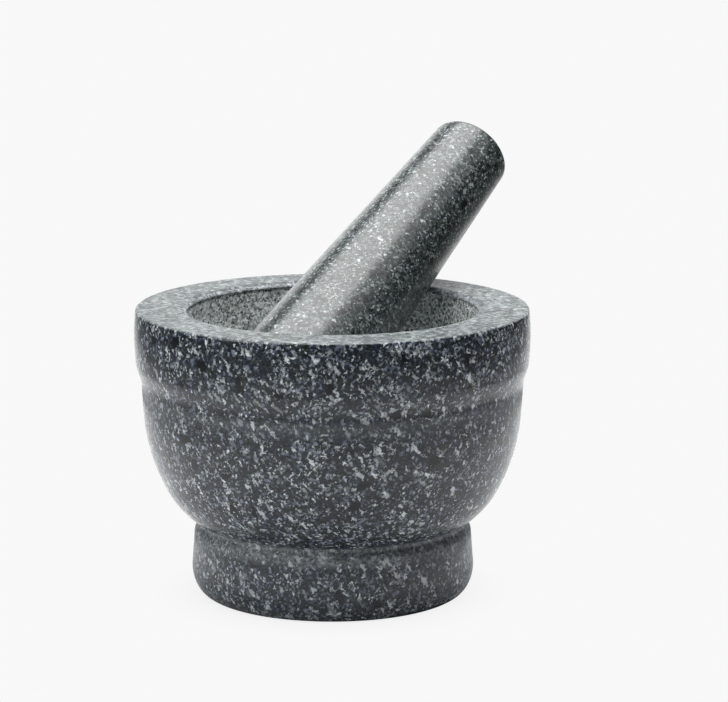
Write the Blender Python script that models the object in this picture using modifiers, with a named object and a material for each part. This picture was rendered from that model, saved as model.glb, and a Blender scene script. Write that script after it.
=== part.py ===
"""Granite mortar and pestle: a footed stone bowl with a loose stone pestle leaning in it.

Metres, +Z up. The origin is the centre of the flat underside of the mortar's foot.
The pestle leans towards +X in the XZ plane, so the XZ plane is a plane of symmetry.
"""

from math import cos, pi, radians, sin, sqrt

import bpy

MM = 0.001

# Driving dimensions of the mortar (radii and heights above the table)
RIM_HEIGHT = 110.2 * MM
BAND_RADIUS = 75.0 * MM            # widest place of the stone: the raised band under the rim
BAND_CURVE_RADIUS = 88.0 * MM      # how strongly the band bulges, like a barrel
BAND_TOP_HEIGHT = 109.0 * MM
BAND_FOOT_HEIGHT = 90.4 * MM
RIM_EDGE_RADIUS = 1.2 * MM
WALL_TOP_RADIUS = 72.4 * MM        # the plain wall just below the band
WALL_TOP_HEIGHT = 81.5 * MM
WALL_FOOT_RADIUS = 71.6 * MM
WALL_FOOT_HEIGHT = 69.0 * MM
SIDE_LEANS = (4.6, 28.5, 54.5, 80, -45, -4.2)   # degrees inward, at the ends of the five arcs
SIDE_RADII = (70.0 * MM, 35.4 * MM, 0.8 * MM, -1.6 * MM, 4.3 * MM)   # belly, its edge, neck, shoulder
FOOT_RADIUS = 53.8 * MM
FOOT_WIDEST_HEIGHT = 11.0 * MM
FLAT_BASE_RADIUS = 46.8 * MM

# Driving dimensions of the mortar's inside
RIM_FLAT_RADIUS = 58.5 * MM        # where the flat rim ends and its rounded lip begins
OPENING_RADIUS = 55.0 * MM
LIP_DROP = 2.0 * MM                # how far the lip rounds down before the bowl's wall begins
BOWL_FLOOR_HEIGHT = 37.0 * MM

# Driving dimensions of the pestle, measured along its own axis
PESTLE_LENGTH = 173.0 * MM
GRIP_END_RADIUS = 16.3 * MM
GRIP_DOME_DEPTH = 4.0 * MM
HEAD_RADIUS = 23.75 * MM
HEAD_CAP_DEPTH = 19.0 * MM

# How the pestle lies: its axis crosses the mortar's axis at this height and angle
PESTLE_REACH_UP = 118.35 * MM      # from that crossing to the grip end
CROSSING_HEIGHT = 101.46 * MM
PESTLE_ELEVATION = radians(28.6)

# Facets
MORTAR_STEPS = 64
PESTLE_STEPS = 40
WELD_DISTANCE = 0.01 * MM

STONE_COLOUR = (0.075, 0.085, 0.095, 1.0)
PESTLE_COLOUR = (0.060, 0.070, 0.080, 1.0)


def clear_scene():
    """Remove every object of the open file."""
    for scene_object in list(bpy.data.objects):
        bpy.data.objects.remove(scene_object, do_unlink=True)


def ellipse_points(centre_r, centre_z, semi_r, semi_z, start, end, count):
    """Points of an elliptical arc; angles run from the outward radial direction, up positive."""
    points = []
    for index in range(count + 1):
        angle = start + (end - start) * index / count
        points.append((centre_r + semi_r * cos(angle), centre_z + semi_z * sin(angle)))
    return points


def band_points(count):
    """The barrel-shaped band below the rim, from its top to where it starts to turn in."""
    centre_r = BAND_RADIUS - BAND_CURVE_RADIUS
    centre_z = (BAND_TOP_HEIGHT + BAND_FOOT_HEIGHT) / 2
    points = []
    for index in range(count + 1):
        z = BAND_TOP_HEIGHT + (BAND_FOOT_HEIGHT - BAND_TOP_HEIGHT) * index / count
        offset = z - centre_z
        points.append((centre_r + sqrt(BAND_CURVE_RADIUS ** 2 - offset ** 2), z))
    return points


def eased_step(start, end, count):
    """A soft S-shaped step from one (r, z) point down to another, without its start."""
    points = []
    for index in range(1, count + 1):
        share = index / count
        blend = 0.5 - 0.5 * cos(pi * share)
        points.append((start[0] + (end[0] - start[0]) * blend, start[1] + (end[1] - start[1]) * share))
    return points


def side_points(counts):
    """The belly, the neck under it and the foot's shoulder, as arcs that each change the wall's lean.

    A negative radius makes the wall hollow instead of round. counts gives each arc's facets.
    """
    r, z = WALL_FOOT_RADIUS, WALL_FOOT_HEIGHT
    points = []
    for arc, (curve_radius, count) in enumerate(zip(SIDE_RADII, counts)):
        lean_start, lean_end = radians(SIDE_LEANS[arc]), radians(SIDE_LEANS[arc + 1])
        for index in range(1, count + 1):
            lean = lean_start + (lean_end - lean_start) * index / count
            points.append((r - curve_radius * (cos(lean_start) - cos(lean)),
                           z - curve_radius * (sin(lean) - sin(lean_start))))
        r, z = points[-1]
    return points


def mortar_profile():
    """Half section of the mortar: bowl floor, up the inside, over the rim, down the outside."""
    wall_top = RIM_HEIGHT - LIP_DROP
    inside = ellipse_points(0, wall_top, OPENING_RADIUS, wall_top - BOWL_FLOOR_HEIGHT, -pi / 2, 0, 12)
    inside[0] = (0.0, BOWL_FLOOR_HEIGHT)
    lip = ellipse_points(RIM_FLAT_RADIUS, wall_top, RIM_FLAT_RADIUS - OPENING_RADIUS, LIP_DROP,
                         pi, pi / 2, 4)[1:]
    band = band_points(4)
    edge_r, edge_z = band[0]
    rim_edge = ellipse_points(edge_r - RIM_EDGE_RADIUS, RIM_HEIGHT - RIM_EDGE_RADIUS,
                              RIM_EDGE_RADIUS, RIM_EDGE_RADIUS, pi / 2, 0, 2)
    step = eased_step(band[-1], (WALL_TOP_RADIUS, WALL_TOP_HEIGHT), 4)
    wall_foot = [(WALL_FOOT_RADIUS, WALL_FOOT_HEIGHT)]
    side = side_points((4, 4, 1, 4, 3))
    foot = ellipse_points(FLAT_BASE_RADIUS, FOOT_WIDEST_HEIGHT, FOOT_RADIUS - FLAT_BASE_RADIUS,
                          FOOT_WIDEST_HEIGHT, 0, -pi / 2, 5)
    centre = [(0.0, 0.0)]
    return inside + lip + rim_edge + band[1:] + step + wall_foot + side + foot + centre


def pestle_profile():
    """Half section of the pestle, from the middle of the grip end down to the tip of the head."""
    top = PESTLE_REACH_UP
    tip = top - PESTLE_LENGTH
    dome = ellipse_points(0, top - GRIP_DOME_DEPTH, GRIP_END_RADIUS, GRIP_DOME_DEPTH, pi / 2, 0, 8)
    cap = ellipse_points(0, tip + HEAD_CAP_DEPTH, HEAD_RADIUS, HEAD_CAP_DEPTH, 0, -pi / 2, 8)
    dome[0] = (0.0, top)
    cap[-1] = (0.0, tip)
    return dome + cap


def stone_material(name, colour, roughness):
    """A plain stone surface."""
    material = bpy.data.materials.new(name)
    material.use_nodes = True
    shader = material.node_tree.nodes["Principled BSDF"]
    shader.inputs["Base Color"].default_value = colour
    shader.inputs["Roughness"].default_value = roughness
    shader.inputs["Metallic"].default_value = 0.0
    material.diffuse_color = colour
    return material


def turned_piece(name, profile, steps, material, collection):
    """Turn a half section about the local Z axis into one closed solid."""
    mesh = bpy.data.meshes.new(name)
    edges = [(index, index + 1) for index in range(len(profile) - 1)]
    mesh.from_pydata([(r, 0.0, z) for r, z in profile], edges, [])
    mesh.materials.append(material)
    piece = bpy.data.objects.new(name, mesh)
    collection.objects.link(piece)
    screw = piece.modifiers.new("turning", "SCREW")
    screw.axis = "Z"
    screw.angle = 2 * pi
    screw.steps = steps
    screw.render_steps = steps
    screw.use_merge_vertices = True
    screw.merge_threshold = WELD_DISTANCE
    screw.use_smooth_shade = True
    return piece


def build():
    """Make the mortar and the pestle that leans in it."""
    clear_scene()
    collection = bpy.data.collections.new("granite_mortar_and_pestle")
    bpy.context.scene.collection.children.link(collection)

    mortar_stone = stone_material("mortar_stone", STONE_COLOUR, 0.35)
    turned_piece("mortar", mortar_profile(), MORTAR_STEPS, mortar_stone, collection)

    pestle_stone = stone_material("pestle_stone", PESTLE_COLOUR, 0.25)
    pestle = turned_piece("pestle", pestle_profile(), PESTLE_STEPS, pestle_stone, collection)
    pestle.location = (0.0, 0.0, CROSSING_HEIGHT)
    pestle.rotation_euler = (0.0, pi / 2 - PESTLE_ELEVATION, 0.0)


build()
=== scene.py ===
# %% [markdown]
# # A granite mortar and its pestle
#
# Two loose stones: a footed bowl turned from one block, and a tapered club turned from another.
# The plan is to load the measured model, set up a small studio, turn each stone from a half
# section with Geometry Nodes, dress some zones rougher than others, and then grow the granite
# itself out of layers of crystals.

# %% Load the measured model
from math import asin, cos, pi, radians, sin, sqrt

import bpy
from mathutils import Matrix, Vector


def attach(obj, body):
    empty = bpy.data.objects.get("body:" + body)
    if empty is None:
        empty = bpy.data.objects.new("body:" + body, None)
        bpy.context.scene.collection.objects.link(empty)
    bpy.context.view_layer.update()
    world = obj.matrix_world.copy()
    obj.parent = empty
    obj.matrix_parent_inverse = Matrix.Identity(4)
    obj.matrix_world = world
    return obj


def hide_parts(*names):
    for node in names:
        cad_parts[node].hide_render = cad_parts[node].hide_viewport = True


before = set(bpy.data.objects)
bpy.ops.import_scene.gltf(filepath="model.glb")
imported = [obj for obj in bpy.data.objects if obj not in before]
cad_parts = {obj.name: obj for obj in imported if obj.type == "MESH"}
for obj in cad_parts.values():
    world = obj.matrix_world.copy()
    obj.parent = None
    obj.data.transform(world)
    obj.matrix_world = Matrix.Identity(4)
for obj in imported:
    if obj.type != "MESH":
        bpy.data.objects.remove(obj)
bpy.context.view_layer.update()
MM = 0.001

# %% [markdown]
# ## Camera
#
# The bowl is seen from a little above its rim, with a long lens from more than a metre away, so
# the ellipses of the rim and of the foot stay calm. The camera is placed by its direction, its
# height angle and its distance from a point in the middle of the bowl.

# %% Camera
VIEW_AZIMUTH = radians(-57.2)      # the pestle then leans away to the back right
VIEW_ELEVATION = radians(12.89)
VIEW_DISTANCE = 1.300
VIEW_TARGET = Vector((0, 0, 0.050))
TURN_RIGHT = radians(0.54)         # the bowl sits left of and below the middle of the picture
TILT_UP = radians(1.86)
LENS_MM = 168.45

camera = bpy.data.objects.new("camera", bpy.data.cameras.new("camera"))
bpy.context.scene.collection.objects.link(camera)
camera.data.sensor_width = 36
camera.data.lens = LENS_MM
camera.data.clip_start = 0.05
camera.data.clip_end = 50
away = Vector((sin(VIEW_AZIMUTH) * cos(VIEW_ELEVATION), -cos(VIEW_AZIMUTH) * cos(VIEW_ELEVATION),
               sin(VIEW_ELEVATION)))
camera.location = VIEW_TARGET + away * VIEW_DISTANCE
camera.rotation_euler = (pi / 2 - VIEW_ELEVATION + TILT_UP, 0, VIEW_AZIMUTH - TURN_RIGHT)
bpy.context.scene.camera = camera
print("camera at", [round(value, 3) for value in camera.location])

# %% [markdown]
# ## Studio
#
# Polished stone is mostly a picture of its studio. A wide soft box hangs overhead and lays the
# broad pale stripe along the pestle, and a narrow weaker one beside it softens that stripe's edge.
# A white wall behind lights the flat rim at a low angle, a box at the front left lights the flecks
# on that side, and the floor throws light up under the bowl. The room in front is kept dim, which
# is what keeps the front of the bowl dark.

# %% Studio helpers
def material_with_shader(name):
    """A new material and its Principled shader, output already linked."""
    material = bpy.data.materials.new(name)
    material.use_nodes = True
    return material, material.node_tree.nodes["Principled BSDF"]


def soft_box(name, location, aim, width, height, radiance):
    """A rectangular light that the camera does not see, as bright as a surface of that radiance."""
    lamp = bpy.data.lights.new(name, "AREA")
    lamp.shape = "RECTANGLE"
    lamp.size = width
    lamp.size_y = height
    lamp.energy = radiance * pi * width * height
    box = bpy.data.objects.new(name, lamp)
    bpy.context.scene.collection.objects.link(box)
    box.location = location
    box.rotation_mode = "QUATERNION"
    box.rotation_quaternion = (Vector(aim) - Vector(location)).to_track_quat("-Z", "Y")
    box.visible_camera = False
    return box


def studio_place(right, back, up):
    """A point given by how far right, back and up it is, as the camera's picture has them."""
    across = Vector((cos(VIEW_AZIMUTH), sin(VIEW_AZIMUTH), 0))
    deep = Vector((-sin(VIEW_AZIMUTH), cos(VIEW_AZIMUTH), 0))
    return across * right + deep * back + Vector((0, 0, up))


# %% [markdown]
# A node tree written line by line is long to read. A small bench object keeps it short: it adds a
# node and fills or links its inputs in one call. The same bench serves materials, the room and the
# lathe further on.

# %% Node bench
class NodeBench:
    """Short ways to add and link nodes in one tree."""

    def __init__(self, tree):
        self.nodes = tree.nodes
        self.links = tree.links

    def add(self, kind, inputs=None, **settings):
        """A node with its settings, and its inputs given as plain values or as sockets."""
        made = self.nodes.new(kind)
        for key, value in settings.items():
            setattr(made, key, value)
        for key, value in (inputs or {}).items():
            self.feed(made.inputs[key], value)
        return made

    def feed(self, socket, value):
        """Link a socket, or set a plain value."""
        if isinstance(value, bpy.types.NodeSocket):
            self.links.new(value, socket)
        else:
            socket.default_value = value

    def maths(self, operation, first, second=0.5, clamp=False):
        """One arithmetic step."""
        return self.add("ShaderNodeMath", {0: first, 1: second}, operation=operation,
                        use_clamp=clamp).outputs[0]

    def vector(self, operation, *parts):
        """One step of vector arithmetic. A dot product gives a number, the others give a vector."""
        made = self.add("ShaderNodeVectorMath", dict(enumerate(parts)), operation=operation)
        return made.outputs["Value" if operation == "DOT_PRODUCT" else "Vector"]


# %% Shader bench
class ShaderBench(NodeBench):
    """The bench with textures and colours added, for materials."""

    def ramp(self, value, low, high, low_result=0.0, high_result=1.0, smooth=False):
        """Map a range of values to another, clamped."""
        made = self.add("ShaderNodeMapRange", {"Value": value, "From Min": low, "From Max": high,
                                               "To Min": low_result, "To Max": high_result},
                        interpolation_type="SMOOTHSTEP" if smooth else "LINEAR")
        return made.outputs["Result"]

    def blend(self, share, first, second):
        """Mix two colours."""
        made = self.add("ShaderNodeMix", data_type="RGBA")
        self.feed(made.inputs[0], share)
        self.feed(made.inputs[6], first)
        self.feed(made.inputs[7], second)
        return made.outputs[2]

    def noise(self, vector, size, detail=2.0, roughness=0.5, colour=False):
        """Soft noise with features of about this size in millimetres."""
        made = self.add("ShaderNodeTexNoise", {"Vector": vector, "Scale": 1 / size, "Detail": detail,
                                               "Roughness": roughness}, noise_dimensions="3D")
        return made.outputs["Color" if colour else "Fac"]

    def shaken(self, vector, size, amount):
        """The same place, moved about by noise, which makes straight crystal edges ragged."""
        cloud = self.noise(vector, size, 3.0, 0.6, colour=True)
        push = self.vector("SUBTRACT", cloud, (0.5, 0.5, 0.5))
        return self.vector("MULTIPLY_ADD", push, (amount, amount, amount), vector)

    def cells(self, vector, size, seed):
        """Packed crystals: two random numbers of each cell's own, and the distance to its middle."""
        moved = self.vector("ADD", vector, (seed * 17.3, seed * 5.1, seed * 9.7))
        made = self.add("ShaderNodeTexVoronoi", {"Vector": moved, "Scale": 1 / size}, feature="F1")
        own = self.add("ShaderNodeSeparateColor", {0: made.outputs["Color"]})
        return own.outputs[0], own.outputs[1], made.outputs["Distance"]


# %% [markdown]
# The floor is white paper that ends a little way off, with the dim room beyond it. Looked at
# directly it is plain glowing paper with a faint painted contact shadow, taken from ambient
# occlusion, where a stone stands on it. For light that bounces, it is bright beside and behind the
# bowl and fades out in front of it.

# %% Floor
PAPER_WHITE = 0.94
# the paper's glow at the foot, darkened by the painted contact shadow
PAPER_IN_PAINTED_SHADOW = 0.90 * PAPER_WHITE
PAINTED_SHADOW_REACH = 0.025                # metres from the foot over which the painted contact shadow darkens the paper
FLOOR_RADIUS = 2.2
FLOOR_BRIGHT, FLOOR_DARK = 0.62, 0.12
FLOOR_ROUGHNESS = 0.9
FRONT_FADE = (-0.55, 0.02)         # metres in front of and behind the bowl's axis
EDGE_FADE = (0.20, 0.42)           # metres to either side


def floor_paint():
    """White paper that fades out in front of the bowl and at its sides, with a painted contact shadow
    where the camera sees it.
    """
    material, shader = material_with_shader("studio_floor_paint")
    bench = ShaderBench(material.node_tree)
    place = bench.add("ShaderNodeTexCoord").outputs["Object"]
    deep = bench.vector("DOT_PRODUCT", place, studio_place(0, 1, 0))
    across = bench.vector("DOT_PRODUCT", place, studio_place(1, 0, 0))
    front = bench.ramp(deep, *FRONT_FADE, smooth=True)
    side = bench.ramp(bench.maths("ABSOLUTE", across), *EDGE_FADE, 1.0, 0.0, smooth=True)
    bright = bench.maths("MULTIPLY", front, side)
    bench.feed(shader.inputs["Base Color"], bench.ramp(bright, 0.0, 1.0, FLOOR_DARK, FLOOR_BRIGHT))
    shader.inputs["Roughness"].default_value = FLOOR_ROUGHNESS
    # ambient occlusion paints a faint contact shadow into the paper's glow, which only the camera sees
    painted_shadow = bench.add("ShaderNodeAmbientOcclusion", {"Distance": PAINTED_SHADOW_REACH}, samples=16).outputs["AO"]
    glow = bench.ramp(painted_shadow, 0.0, 0.9, PAPER_IN_PAINTED_SHADOW, PAPER_WHITE)
    paper = bench.add("ShaderNodeEmission", {"Strength": glow}).outputs["Emission"]
    direct = bench.add("ShaderNodeLightPath").outputs["Is Camera Ray"]
    mixed = bench.add("ShaderNodeMixShader", {0: direct, 1: shader.outputs["BSDF"], 2: paper})
    bench.feed(bench.nodes["Material Output"].inputs["Surface"], mixed.outputs["Shader"])
    return material


bpy.ops.mesh.primitive_circle_add(vertices=96, radius=FLOOR_RADIUS, fill_type="NGON", location=(0, 0, 0))
floor = bpy.context.object
floor.name = "studio_floor"
floor.data.materials.append(floor_paint())
print("floor:", floor.name, FLOOR_RADIUS, "m in radius")

# %% Lights
# Each box has a name, a place (right, back, up), the height it aims at, its two sides and a radiance.
SOFT_BOXES = [
    ("overhead_box", (0.02, 0.16, 1.15), 0.10, 1.12, 1.25, 6.0),
    ("overhead_side", (0.64, 0.10, 1.10), 0.10, 0.20, 1.10, 2.4),
    ("back_wall", (0.0, 2.4, 0.60), 0.40, 2.80, 1.20, 1.55),
    ("left_fill", (-1.15, -0.95, 1.05), 0.05, 1.20, 1.20, 3.2),
]
for name, place, aim_height, width, height, radiance in SOFT_BOXES:
    soft_box(name, studio_place(*place), (0, 0, aim_height), width, height, radiance)
print("studio lights:", [name for name, *_ in SOFT_BOXES])

# %% Room
ROOM_TINT = (0.86, 0.94, 1.0, 1)
ROOM_GLOW = 0.06
PAPER_BEYOND = (PAPER_WHITE, PAPER_WHITE, PAPER_WHITE, 1)

room = bpy.data.worlds.new("studio_room")
bpy.context.scene.world = room
room.use_nodes = True
room_bench = NodeBench(room.node_tree)
glow = room_bench.nodes["Background"]
room_bench.feed(glow.inputs["Color"], ROOM_TINT)
room_bench.feed(glow.inputs["Strength"], ROOM_GLOW)
beyond = room_bench.add("ShaderNodeBackground", {"Color": PAPER_BEYOND, "Strength": 1.0})
direct = room_bench.add("ShaderNodeLightPath").outputs["Is Camera Ray"]
seen = room_bench.add("ShaderNodeMixShader", {0: direct, 1: glow.outputs["Background"],
                                              2: beyond.outputs["Background"]})
room_bench.feed(room_bench.nodes["World Output"].inputs["Surface"], seen.outputs["Shader"])
bpy.context.scene.view_settings.view_transform = "Standard"
print("room glow:", ROOM_GLOW)

# %% [markdown]
# ## Half sections
#
# A turned stone is fully described by half of its section: a line of (radius, height) points.
# Each point also carries a dressing number that says how the mason left the surface there:
# 0 is polished, about 0.5 is smooth but dull, and 1 is pecked with a point.

# %% Section helpers
def arc(centre, semi_axes, start, end, count):
    """Points of an elliptical arc, from the angle start to the angle end, both ends included."""
    turn = [start + (end - start) * index / count for index in range(count + 1)]
    return [(centre[0] + semi_axes[0] * cos(a), centre[1] + semi_axes[1] * sin(a)) for a in turn]


def run(start, end, count):
    """Evenly spaced points along a straight run, without its start."""
    shares = [index / count for index in range(1, count + 1)]
    return [(start[0] + (end[0] - start[0]) * t, start[1] + (end[1] - start[1]) * t) for t in shares]


def leaning_arc(start, curve_radius, lean_start, lean_end, count):
    """A wall that goes down from start while its lean grows, as part of a circle."""
    points = []
    for index in range(1, count + 1):
        lean = lean_start + (lean_end - lean_start) * index / count
        points.append((start[0] - curve_radius * (cos(lean_start) - cos(lean)),
                       start[1] - curve_radius * (sin(lean) - sin(lean_start))))
    return points


def ease(share):
    """0 to 1 with a soft start and a soft end."""
    share = min(max(share, 0), 1)
    return share * share * (3 - 2 * share)


# %% Sizes of the mortar
RIM_HEIGHT = 110.2 * MM
BAND_RADIUS = 75.0 * MM
BAND_CURVE = 88.0 * MM
BAND_TOP, BAND_FOOT = 109.0 * MM, 90.4 * MM
RIM_EDGE = 1.2 * MM
WALL_TOP = (72.4 * MM, 81.5 * MM)
WALL_FOOT = (71.6 * MM, 69.0 * MM)
BELLY_LEANS = (radians(4.6), radians(28.5), radians(54.5))
BELLY_CURVES = (70.0 * MM, 35.4 * MM)
NECK_LEANS = (radians(54.5), radians(80), radians(-45), radians(-4.2))
NECK_CURVES = (0.8 * MM, -1.6 * MM, 4.3 * MM)      # the belly's edge, the hollow neck, the shoulder
NECK_TOP, NECK_BOTTOM = 29.2 * MM, 23.8 * MM
FOOT_RADIUS, FOOT_WIDEST = 53.8 * MM, 11.0 * MM
FLAT_BASE = 46.8 * MM
LIP_OUTER, LIP_INNER = 58.5 * MM, 55.0 * MM
LIP_DROP = 2.0 * MM
BOWL_FLOOR = 37.0 * MM


# %% Half section of the mortar
def bowl_inside():
    """From the middle of the bowl's floor up to the fine cut line under the lip."""
    top = RIM_HEIGHT - LIP_DROP
    wall = arc((0, top), (LIP_INNER, top - BOWL_FLOOR), -pi / 2, -radians(1.0), 78)
    wall[0] = (0.0, BOWL_FLOOR)
    return [point for point in wall if point[1] < top - 1.2 * MM]


def cut_line():
    """The narrow step where the pecked bowl stops and the polished lip begins."""
    top = RIM_HEIGHT - LIP_DROP
    return [(LIP_INNER + 0.02 * MM, top - 0.95 * MM), (LIP_INNER + 0.12 * MM, top - 0.75 * MM),
            (LIP_INNER + 0.14 * MM, top - 0.45 * MM), (LIP_INNER + 0.06 * MM, top - 0.20 * MM)]


def rim():
    """The rounded lip, the flat rim and its small outer rounding."""
    lip = arc((LIP_OUTER, RIM_HEIGHT - LIP_DROP), (LIP_OUTER - LIP_INNER, LIP_DROP), pi, pi / 2, 10)
    edge_r = BAND_RADIUS - BAND_CURVE + sqrt(BAND_CURVE ** 2 - ((BAND_TOP - BAND_FOOT) / 2) ** 2)
    edge = arc((edge_r - RIM_EDGE, RIM_HEIGHT - RIM_EDGE), (RIM_EDGE, RIM_EDGE), pi / 2, 0, 6)
    return lip + run(lip[-1], edge[0], 14)[:-1] + edge


def band():
    """The band bulges like a barrel, then turns in softly to the plain wall below it."""
    half = (BAND_TOP - BAND_FOOT) / 2
    reach = asin(half / BAND_CURVE)
    barrel = arc((BAND_RADIUS - BAND_CURVE, BAND_FOOT + half), (BAND_CURVE, BAND_CURVE), reach, -reach, 14)
    start = barrel[-1]
    step = []
    for index in range(1, 13):
        share = index / 12
        step.append((start[0] + (WALL_TOP[0] - start[0]) * (0.5 - 0.5 * cos(pi * share)),
                     start[1] + (WALL_TOP[1] - start[1]) * share))
    return barrel[1:] + step


def belly():
    """The plain wall, then two arcs that carry it in to the neck."""
    wall = run(WALL_TOP, WALL_FOOT, 9)
    upper = leaning_arc(wall[-1], BELLY_CURVES[0], BELLY_LEANS[0], BELLY_LEANS[1], 24)
    lower = leaning_arc(upper[-1], BELLY_CURVES[1], BELLY_LEANS[1], BELLY_LEANS[2], 14)
    return wall + upper + lower


def neck_and_foot(top):
    """The tight hollow under the belly, the soft shoulder, the swelling foot and the flat underside."""
    neck = []
    for number, (curve_radius, count) in enumerate(zip(NECK_CURVES, (4, 14, 10))):
        start = neck[-1] if neck else top
        neck += leaning_arc(start, curve_radius, NECK_LEANS[number], NECK_LEANS[number + 1], count)
    flank = run(neck[-1], (FOOT_RADIUS, FOOT_WIDEST), 10)
    toe = arc((FLAT_BASE, FOOT_WIDEST), (FOOT_RADIUS - FLAT_BASE, FOOT_WIDEST), 0, -pi / 2, 16)[1:]
    return neck + flank + toe + run((FLAT_BASE, 0), (0, 0), 10)


def mortar_section():
    """The whole half section, from the bowl's floor over the rim to the middle of the underside."""
    outside = rim() + band() + belly()
    return bowl_inside() + cut_line() + outside + neck_and_foot(outside[-1])


def mortar_dressing(r, z):
    """Pecked in the bowl, sawn underneath, duller on lip, crease, neck and foot, polished elsewhere."""
    if r < LIP_INNER + 0.4 * MM and z > BOWL_FLOOR - 1 * MM and z < RIM_HEIGHT - LIP_DROP:
        return 1.0
    if z < 0.3 * MM:
        return 0.35
    if z > RIM_HEIGHT - LIP_DROP and r < LIP_OUTER:
        return 0.72 * ease((LIP_OUTER - r) / (LIP_OUTER - LIP_INNER))
    crease = 0.45 * ease((WALL_TOP[1] + 1 * MM - z) / (4 * MM)) * ease((z - 70 * MM) / (9 * MM))
    neck = 0.6 * ease((NECK_TOP - z) / (0.8 * MM)) * ease((z - NECK_BOTTOM + 5 * MM) / (5 * MM))
    foot = 0.20 * ease((24 * MM - z) / (4 * MM))
    return max(crease, neck, foot)


mortar_line = mortar_section()
print("mortar section:", len(mortar_line), "points")

# %% [markdown]
# The pestle's half section is measured along its own axis, from the middle of its grip end.
# It is a long cone that swells slowly to a heavy rounded head.

# %% Half section of the pestle
PESTLE_LENGTH = 173.0 * MM
PESTLE_REACH = 118.35 * MM         # from the mortar's axis up to the grip end
GRIP_RADIUS = 16.28 * MM
GRIP_DOME = 4.0 * MM
HEAD_RADIUS = 23.75 * MM
HEAD_CAP = 19.0 * MM
CROSSING_HEIGHT = 101.46 * MM
PESTLE_RISE = radians(28.6)


def pestle_section():
    """Grip dome, long taper and rounded head, from the top down."""
    tip = PESTLE_REACH - PESTLE_LENGTH
    dome = arc((0, PESTLE_REACH - GRIP_DOME), (GRIP_RADIUS, GRIP_DOME), pi / 2, 0, 22)
    cap = arc((0, tip + HEAD_CAP), (HEAD_RADIUS, HEAD_CAP), 0, -pi / 2, 30)
    dome[0] = (0.0, PESTLE_REACH)
    cap[-1] = (0.0, tip)
    return dome + run(dome[-1], cap[0], 90) + cap[1:]


def pestle_dressing(r, z):
    """Polished for the hand, ground dull on the head that does the work."""
    return 0.85 * ease((-38 * MM - z) / (8 * MM))


pestle_line = pestle_section()
print("pestle section:", len(pestle_line), "points")

# %% [markdown]
# ## Turning the stones
#
# Geometry Nodes can do what a lathe does. A grid has one column for every step round and one row
# for every point of the section. Each grid point looks up its section point, swings it round the
# axis, and the seam and the two poles are welded. Where the dressing number is high, the surface
# is then pushed in by small random dents, so pecked stone is rough in its real shape and not only
# in its shading.

# %% Swing the section round
LATHE_INPUTS = [("Section", "NodeSocketGeometry"), ("Steps Round", "NodeSocketInt"),
                ("Dent Depth", "NodeSocketFloat"), ("Dent Size", "NodeSocketFloat"),
                ("Waver", "NodeSocketFloat"), ("Seed", "NodeSocketFloat"), ("Stone", "NodeSocketMaterial")]
WELD_REACH = 0.01 * MM


def dressing_field(bench):
    """The dressing number, read from the geometry that asks for it."""
    return bench.add("GeometryNodeInputNamedAttribute", {"Name": "dressing"},
                     data_type="FLOAT").outputs["Attribute"]


def from_section(bench, given, value, row, kind):
    """A value read from the section point of that row."""
    made = bench.add("GeometryNodeSampleIndex", data_type=kind, domain="POINT")
    for label, source in (("Geometry", given["Section"]), ("Value", value), ("Index", row)):
        bench.feed(made.inputs[label], source)
    return made.outputs["Value"]


def swung_section(bench, given):
    """A grid laid on the swung section, with its seam and its two poles welded."""
    size = bench.add("GeometryNodeAttributeDomainSize", {"Geometry": given["Section"]})
    rows = size.outputs["Point Count"]
    columns = bench.maths("ADD", given["Steps Round"], 1)
    grid = bench.add("GeometryNodeMeshGrid", {"Vertices X": columns, "Vertices Y": rows})
    index = bench.add("GeometryNodeInputIndex").outputs["Index"]
    column = bench.maths("FLOOR", bench.maths("DIVIDE", bench.maths("ADD", index, 0.5), rows))
    row = bench.maths("SUBTRACT", index, bench.maths("MULTIPLY", column, rows))
    angle = bench.maths("MULTIPLY", bench.maths("DIVIDE", column, given["Steps Round"]), 2 * pi)

    position = bench.add("GeometryNodeInputPosition").outputs["Position"]
    point = from_section(bench, given, position, row, "FLOAT_VECTOR")
    spot = bench.add("ShaderNodeSeparateXYZ", {0: point}).outputs
    swung = bench.add("ShaderNodeCombineXYZ", {
        "X": bench.maths("MULTIPLY", spot["X"], bench.maths("COSINE", angle)),
        "Y": bench.maths("MULTIPLY", spot["X"], bench.maths("SINE", angle)),
        "Z": spot["Z"]})
    dressing = from_section(bench, given, dressing_field(bench), row, "FLOAT")
    keep = bench.add("GeometryNodeStoreNamedAttribute", {
        "Geometry": grid.outputs["Mesh"], "Name": "dressing", "Value": dressing},
        data_type="FLOAT", domain="POINT")
    place = bench.add("GeometryNodeSetPosition", {
        "Geometry": keep.outputs["Geometry"], "Position": swung.outputs["Vector"]})
    weld = bench.add("GeometryNodeMergeByDistance", {
        "Geometry": place.outputs["Geometry"], "Distance": WELD_REACH})
    return bench.add("GeometryNodeFlipFaces", {"Mesh": weld.outputs["Geometry"]}).outputs["Mesh"]


# %% Peck the turned stone
WAVE_LENGTH = 22 * MM              # of the slow unevenness that hand turning leaves
PECKED_FROM = 0.7                  # the dressing from which a surface is dented


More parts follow.
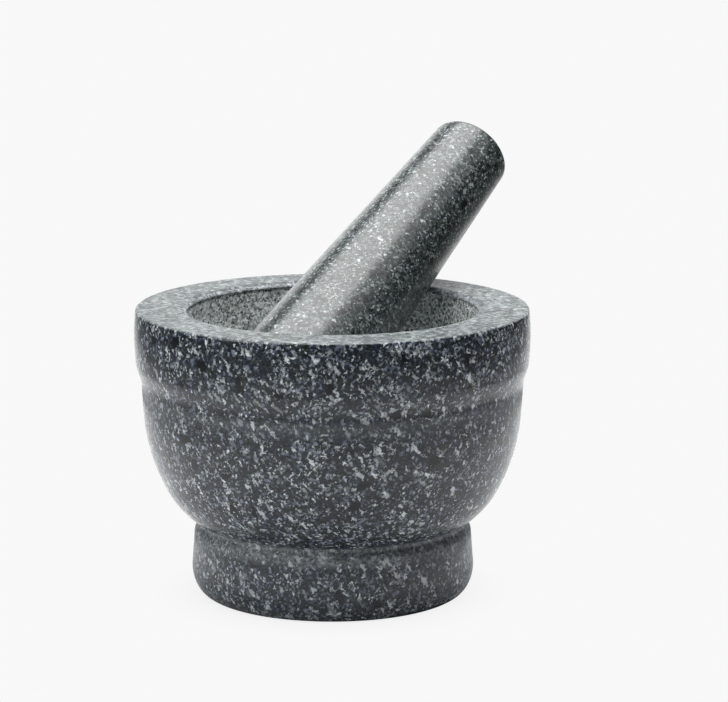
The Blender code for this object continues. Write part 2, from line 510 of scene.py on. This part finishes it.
def pecked(bench, given, turned):
    """Push the surface in, by small dents where it is pecked and everywhere by a slow waver."""
    dents = bench.add("ShaderNodeTexNoise", {
        "W": given["Seed"], "Scale": bench.maths("DIVIDE", 1.0, given["Dent Size"]),
        "Detail": 3.0, "Roughness": 0.6}, noise_dimensions="4D")
    waves = bench.add("ShaderNodeTexNoise", {
        "W": given["Seed"], "Scale": 1 / WAVE_LENGTH, "Detail": 1.0}, noise_dimensions="4D")
    over = bench.maths("MAXIMUM", bench.maths("SUBTRACT", dressing_field(bench), PECKED_FROM), 0.0)
    share = bench.maths("DIVIDE", over, 1 - PECKED_FROM)
    dent = bench.maths("MULTIPLY", dents.outputs["Fac"], given["Dent Depth"])
    dent = bench.maths("MULTIPLY", dent, share)
    wave = bench.maths("MULTIPLY", waves.outputs["Fac"], given["Waver"])
    depth = bench.maths("MULTIPLY", bench.maths("ADD", dent, wave), -1.0)
    normal = bench.add("GeometryNodeInputNormal").outputs["Normal"]
    inward = bench.add("ShaderNodeVectorMath", {0: normal, "Scale": depth}, operation="SCALE")
    return bench.add("GeometryNodeSetPosition", {
        "Geometry": turned, "Offset": inward.outputs["Vector"]}).outputs["Geometry"]


# %% The lathe tree
def lathe_tree():
    """A node tree that turns a half section and pecks it where it is dressed."""
    tree = bpy.data.node_groups.new("stone_lathe", "GeometryNodeTree")
    for label, kind in LATHE_INPUTS:
        tree.interface.new_socket(label, in_out="INPUT", socket_type=kind)
    tree.interface.new_socket("Turned Stone", in_out="OUTPUT", socket_type="NodeSocketGeometry")
    bench = NodeBench(tree)
    given = bench.add("NodeGroupInput").outputs
    surface = pecked(bench, given, swung_section(bench, given))
    smooth = bench.add("GeometryNodeSetShadeSmooth", {"Geometry": surface})
    real = bench.add("GeometryNodeRealizeInstances", {"Geometry": smooth.outputs["Geometry"]})
    paint = bench.add("GeometryNodeSetMaterial", {
        "Geometry": real.outputs["Geometry"], "Material": given["Stone"]})
    bench.add("NodeGroupOutput", {"Turned Stone": paint.outputs["Geometry"]})
    return tree


stone_lathe = lathe_tree()
print("lathe tree:", len(stone_lathe.nodes), "nodes")


# %% [markdown]
# A half section becomes a mesh of loose edges that carries the dressing number on each point, and
# the lathe runs on it as a modifier. The evaluated result is copied out as a plain mesh, so the
# piece that is kept has no modifier on it. Its signed volume is a quick test of a turned solid:
# it is positive only when the mesh is closed and its faces point outwards.

# %% Turn a section into a plain mesh
def turn_stone(name, section, dressing, stone, sizes):
    """Run the lathe on a half section and return a plain mesh object of the turned stone."""
    line = bpy.data.meshes.new(name + "_section")
    line.from_pydata([(r, 0, z) for r, z in section], [(i, i + 1) for i in range(len(section) - 1)], [])
    mark = line.attributes.new("dressing", "FLOAT", "POINT")
    for item, (r, z) in zip(mark.data, section):
        item.value = dressing(r, z)
    blank = bpy.data.objects.new(name + "_blank", line)
    bpy.context.scene.collection.objects.link(blank)
    lathe = blank.modifiers.new("lathe", "NODES")
    lathe.node_group = stone_lathe
    sockets = {item.name: item.identifier for item in stone_lathe.interface.items_tree}
    lathe[sockets["Stone"]] = stone
    for label, value in sizes.items():
        lathe[sockets[label]] = value
    turned = bpy.data.meshes.new_from_object(blank.evaluated_get(bpy.context.evaluated_depsgraph_get()))
    turned.name = name
    bpy.data.objects.remove(blank)
    piece = bpy.data.objects.new(name, turned)
    bpy.context.scene.collection.objects.link(piece)
    return piece


def enclosed_volume(mesh):
    """Signed volume of a closed mesh, in litres; positive when its faces point outwards."""
    mesh.calc_loop_triangles()
    total = 0.0
    for triangle in mesh.loop_triangles:
        a, b, c = (mesh.vertices[i].co for i in triangle.vertices)
        total += a.dot(b.cross(c)) / 6
    return total * 1000


# %% [markdown]
# ## Granite
#
# Granite is crystals packed edge to edge, so its picture is built from cells. A Voronoi texture in
# real millimetres gives the cells, each cell's own random number decides which mineral it is, and
# a little noise in the coordinates makes the crystal edges ragged. The smallest crystals come
# first: a dark ground that drifts between blue and olive, with grey grains scattered in it.

# %% Small grains
GROUND_GRAIN, GREY_GRAIN = 0.7, 1.0          # millimetres
GREY_FROM = (0.90, 0.76)                     # random number above which a grain is grey
OLIVE_FADE = (0.46, 0.60)
DRIFT = (0.3, 0.7)                           # the part of the slow noise that is used


def small_grains(stone, torn, drift, tint, minerals):
    """The colour of the fine crystals, where the grey ones are, and a random tone for each cell."""
    own, tone, _ = stone.cells(torn, GROUND_GRAIN, 1)
    lightness = stone.maths("POWER", own, 2.0)
    bluish = stone.blend(lightness, minerals["dark"], minerals["light"])
    olive = stone.blend(lightness, minerals["olive_dark"], minerals["olive"])
    colour = stone.blend(stone.ramp(tint, *OLIVE_FADE, smooth=True), bluish, olive)
    grey_own, grey_tone, _ = stone.cells(torn, GREY_GRAIN, 2)
    is_grey = stone.maths("GREATER_THAN", grey_own, stone.ramp(drift, *DRIFT, *GREY_FROM))
    grey = stone.blend(grey_tone, minerals["grey_low"], minerals["grey_high"])
    return stone.blend(is_grey, colour, grey), is_grey, tone


# %% [markdown]
# The white flecks are feldspar. It sets as long splinters that mostly lie one way, so its cells
# are stretched and turned before the noise moves them. Several families of different length are
# laid over each other, and only a small share of each family is white. The share drifts slowly
# through the block, so flecks gather in some places and are rare in others.

# %% White splinters
FINE_SPLINTER = 0.8                          # narrower ones take the finer shaking
SPLINTER_EDGE = (0.70, 0.45)


def splinter_cover(stone, torn, ragged, drift, families):
    """How white each place is. A family is (length, width, share, tilt, turn)."""
    cover = 0.0
    for number, (length, width, share, tilt, turn) in enumerate(families):
        laid = stone.add("ShaderNodeMapping", {
            "Vector": torn if width < FINE_SPLINTER else ragged,
            "Rotation": (0.0, radians(tilt), VIEW_AZIMUTH + radians(turn)),
            "Scale": (length, width, width)}, vector_type="TEXTURE")
        own, tone, distance = stone.cells(laid.outputs["Vector"], 1.0, 3 + number)
        white_from = stone.ramp(drift, *DRIFT, 1 - share * 0.55, 1 - share * 1.45)
        is_white = stone.maths("GREATER_THAN", own, white_from)
        core = stone.ramp(distance, *SPLINTER_EDGE)
        strength = stone.maths("POWER", stone.ramp(tone, 0.0, 1.0, 0.40, 1.0), 2.0)
        fleck = stone.maths("MULTIPLY", stone.maths("MULTIPLY", is_white, core), strength)
        cover = stone.maths("MAXIMUM", cover, fleck)
    return cover


# %% [markdown]
# Tools change the colour of stone as well as its shape. A dull surface carries a thin pale haze.
# Under the point the grains break, and the bowl turns into a mix of dark holes and white bruises.
# The flat rim is honed: neither polished nor pecked, with soft pale patches.

# %% Colour of worked stone
INCLUSION_SIZE, INCLUSION_FROM = 3.4, 0.975
HAZE_SHARE = 0.6
CHIP_GRAIN, CHIP_CURVE, CHIP_WHITE = 0.75, 1.2, 0.7
BRUISED_SHARE = 0.95
HONED_GRAIN = 1.5


def worked_colour(stone, colour, cover, torn, ragged, dressing, honing, minerals):
    """Dark inclusions, then haze, bruises and honed patches where the stone was worked."""
    inclusion, _, _ = stone.cells(ragged, INCLUSION_SIZE, 12)
    is_dark = stone.maths("GREATER_THAN", inclusion, INCLUSION_FROM)
    colour = stone.blend(is_dark, colour, minerals["inclusion"])
    colour = stone.blend(stone.maths("MULTIPLY", dressing, HAZE_SHARE), colour, minerals["haze"])
    chip, _, _ = stone.cells(torn, CHIP_GRAIN, 11)
    paleness = stone.maths("POWER", chip, CHIP_CURVE)
    chips = stone.blend(paleness, minerals["chip_dark"], minerals["chip_light"])
    chips = stone.blend(stone.maths("MULTIPLY", cover, CHIP_WHITE), chips, minerals["white"])
    bruised = stone.maths("MULTIPLY", stone.maths("POWER", dressing, 3.0), BRUISED_SHARE)
    colour = stone.blend(bruised, colour, chips)
    patch, _, _ = stone.cells(torn, HONED_GRAIN, 13)
    honed = stone.blend(stone.maths("POWER", patch, 2.0), minerals["honed_low"], minerals["honed_high"])
    return stone.blend(honing, colour, honed)


# %% [markdown]
# Polish is uneven too. Each mineral takes it a little differently, and fine pits stay between the
# crystals. Worked zones are rougher and their relief is deeper.

# %% Polish and relief
FINE_PIT, OPEN_PIT = 0.35, 0.6               # millimetres
FINE_POLISH, CELL_POLISH, GREY_POLISH = 0.12, 0.16, 0.03
DRESSED_DULL, HONED_DULL = 0.55, 0.45
RELIEF_HEIGHT = 0.35 * MM
DRESSED_RELIEF, HONED_RELIEF = 0.9, 1.5


def worked_polish(stone, fine, is_grey, tone, dressing, honing, shine):
    """Roughness: the polish of each crystal, and how dull the tools left it."""
    fine_part = stone.maths("MULTIPLY", stone.maths("SUBTRACT", fine, 0.5), FINE_POLISH)
    cell_part = stone.maths("MULTIPLY", stone.maths("SUBTRACT", tone, 0.5), CELL_POLISH)
    polish = shine
    for part in (fine_part, cell_part,
                 stone.maths("MULTIPLY", is_grey, GREY_POLISH),
                 stone.maths("MULTIPLY", dressing, DRESSED_DULL),
                 stone.maths("MULTIPLY", honing, HONED_DULL)):
        polish = stone.maths("ADD", polish, part, clamp=True)
    return polish


def worked_relief(stone, in_mm, fine, dressing, honing, shine):
    """Bump: fine pits everywhere, deeper where the stone was worked."""
    pits = stone.ramp(stone.noise(in_mm, OPEN_PIT, 3.0, 0.65), 0.30, 0.42)
    relief = stone.maths("ADD", stone.maths("MULTIPLY", pits, 0.25), stone.maths("MULTIPLY", fine, 0.2))
    depth = stone.ramp(dressing, 0.0, 1.0, shine, DRESSED_RELIEF)
    depth = stone.maths("ADD", depth, stone.maths("MULTIPLY", honing, HONED_RELIEF))
    bump = stone.add("ShaderNodeBump", {"Height": relief, "Strength": depth, "Distance": RELIEF_HEIGHT})
    return bump.outputs["Normal"]


# %% The granite
STONE_IOR = 1.55
COARSE_SHAKE, FINE_SHAKE = (1.5, 3.4), (0.8, 1.5)      # size of the noise, and how far it moves a place
DRIFT_SIZE, TINT_SIZE = 9.0, 5.0                       # millimetres
HONED_EDGE, HONED_SHARE = 0.6, 0.65


def granite(name, families, minerals, shine, honed_height=None):
    """A granite material. Above honed_height, in millimetres, its surface is honed."""
    material, shader = material_with_shader(name)
    stone = ShaderBench(material.node_tree)
    place = stone.add("ShaderNodeTexCoord").outputs["Object"]
    in_mm = stone.vector("MULTIPLY", place, (1 / MM, 1 / MM, 1 / MM))
    dressing = stone.add("ShaderNodeAttribute", attribute_name="dressing").outputs["Fac"]
    honing = 0.0
    if honed_height is not None:
        height = stone.add("ShaderNodeSeparateXYZ", {0: in_mm}).outputs["Z"]
        reached = stone.ramp(height, honed_height - HONED_EDGE, honed_height, smooth=True)
        honing = stone.maths("MULTIPLY", reached, HONED_SHARE)

    ragged = stone.shaken(in_mm, *COARSE_SHAKE)
    torn = stone.shaken(in_mm, *FINE_SHAKE)
    drift = stone.noise(in_mm, DRIFT_SIZE, 2.0)
    tint = stone.noise(in_mm, TINT_SIZE, 3.0, 0.6)
    colour, is_grey, tone = small_grains(stone, torn, drift, tint, minerals)
    cover = splinter_cover(stone, torn, ragged, drift, families)
    cover = stone.maths("MULTIPLY", cover, stone.ramp(tone, 0.0, 1.0, 0.65, 1.0))
    colour = stone.blend(cover, colour, minerals["white"])
    colour = worked_colour(stone, colour, cover, torn, ragged, dressing, honing, minerals)
    stone.feed(shader.inputs["Base Color"], colour)

    fine = stone.noise(in_mm, FINE_PIT, 2.0)
    polish = worked_polish(stone, fine, is_grey, tone, dressing, honing, shine)
    stone.feed(shader.inputs["Roughness"], polish)
    shader.inputs["IOR"].default_value = STONE_IOR
    stone.feed(shader.inputs["Normal"], worked_relief(stone, in_mm, fine, dressing, honing, shine))
    return material


# %% [markdown]
# The two stones come from different blocks. The mortar is blue-grey with long white splinters,
# some more than five millimetres long. The pestle is greener and darker, its flecks are short and
# a duller white, and a hand's use has left it less glossy. Only the mortar has a honed rim.

# %% Minerals of the mortar
MORTAR_SHINE = 0.17
MORTAR_HONED_HEIGHT = RIM_HEIGHT / MM - 0.1
MORTAR_MINERALS = {
    "dark": (0.010, 0.013, 0.020, 1), "light": (0.056, 0.068, 0.092, 1),
    "olive_dark": (0.010, 0.014, 0.014, 1), "olive": (0.054, 0.070, 0.064, 1),
    "grey_low": (0.06, 0.074, 0.11, 1), "grey_high": (0.21, 0.25, 0.31, 1),
    "white": (0.90, 0.97, 1.0, 1), "inclusion": (0.005, 0.006, 0.009, 1),
    "haze": (0.075, 0.088, 0.108, 1),
    "chip_dark": (0.030, 0.037, 0.036, 1), "chip_light": (0.95, 1.0, 0.98, 1),
    "honed_low": (0.020, 0.025, 0.024, 1), "honed_high": (0.36, 0.41, 0.39, 1),
}
MORTAR_SPLINTERS = [(5.6, 1.5, 0.045, 50, 0), (3.8, 1.2, 0.05, 62, 20), (3.3, 1.05, 0.035, -20, -10),
                    (2.5, 0.9, 0.055, 35, 15), (1.7, 0.8, 0.07, 75, -20), (1.4, 0.65, 0.06, -50, 30)]
mortar_granite = granite("mortar_granite", MORTAR_SPLINTERS, MORTAR_MINERALS, MORTAR_SHINE,
                         MORTAR_HONED_HEIGHT)
print("mortar granite:", len(mortar_granite.node_tree.nodes), "nodes")

# %% Minerals of the pestle
PESTLE_SHINE = 0.27
PESTLE_MINERALS = {
    "dark": (0.004, 0.006, 0.007, 1), "light": (0.070, 0.084, 0.084, 1),
    "olive_dark": (0.006, 0.009, 0.008, 1), "olive": (0.062, 0.080, 0.072, 1),
    "grey_low": (0.03, 0.04, 0.044, 1), "grey_high": (0.15, 0.18, 0.18, 1),
    "white": (0.54, 0.60, 0.60, 1), "inclusion": (0.004, 0.005, 0.005, 1),
    "haze": (0.060, 0.072, 0.074, 1),
    "chip_dark": (0.05, 0.058, 0.055, 1), "chip_light": (0.50, 0.54, 0.51, 1),
    "honed_low": (0.01, 0.012, 0.012, 1), "honed_high": (0.10, 0.12, 0.12, 1),
}
PESTLE_SPLINTERS = [(2.4, 1.2, 0.04, 50, 0), (1.4, 0.8, 0.07, 10, 40), (0.9, 0.6, 0.09, -40, -40)]
pestle_granite = granite("pestle_granite", PESTLE_SPLINTERS, PESTLE_MINERALS, PESTLE_SHINE)
print("pestle granite:", len(pestle_granite.node_tree.nodes), "nodes")

# %% [markdown]
# ## The finished stones
#
# Both stones are turned upright about the vertical axis. The pestle's mesh is then tipped over and
# raised so that it leans in the bowl with its grip past the rim. The move is made in the mesh and
# not on the object, so its granite still reads coordinates in real millimetres.

# %% Make the two stones
LATHE_MORTAR = {"Steps Round": 400, "Dent Depth": 0.55 * MM, "Dent Size": 2.6 * MM, "Waver": 0.04 * MM,
                "Seed": 3.0}
LATHE_PESTLE = {"Steps Round": 260, "Dent Depth": 0.25 * MM, "Dent Size": 2.2 * MM, "Waver": 0.05 * MM,
                "Seed": 8.0}
mortar = turn_stone("granite_mortar", mortar_line, mortar_dressing, mortar_granite, LATHE_MORTAR)
pestle = turn_stone("granite_pestle", pestle_line, pestle_dressing, pestle_granite, LATHE_PESTLE)
lean = Matrix.Rotation(pi / 2 - PESTLE_RISE, 4, "Y")
pestle.data.transform(Matrix.Translation((0, 0, CROSSING_HEIGHT)) @ lean)
for piece in (mortar, pestle):
    litres = enclosed_volume(piece.data)
    print(piece.name, len(piece.data.loop_triangles), "triangles,", round(litres, 4), "litres")

# %% [markdown]
# Each stone rides on the body of the same name, so the pestle moves when it is lifted. It stands
# for the plainer measured solid, which stays in the model for collision but is hidden.

# %% Hand the pieces to the measured model
for piece, node in ((mortar, "mortar"), (pestle, "pestle")):
    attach(piece, node)
    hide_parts(node)
    print(piece.name, "rides on and stands for", node)
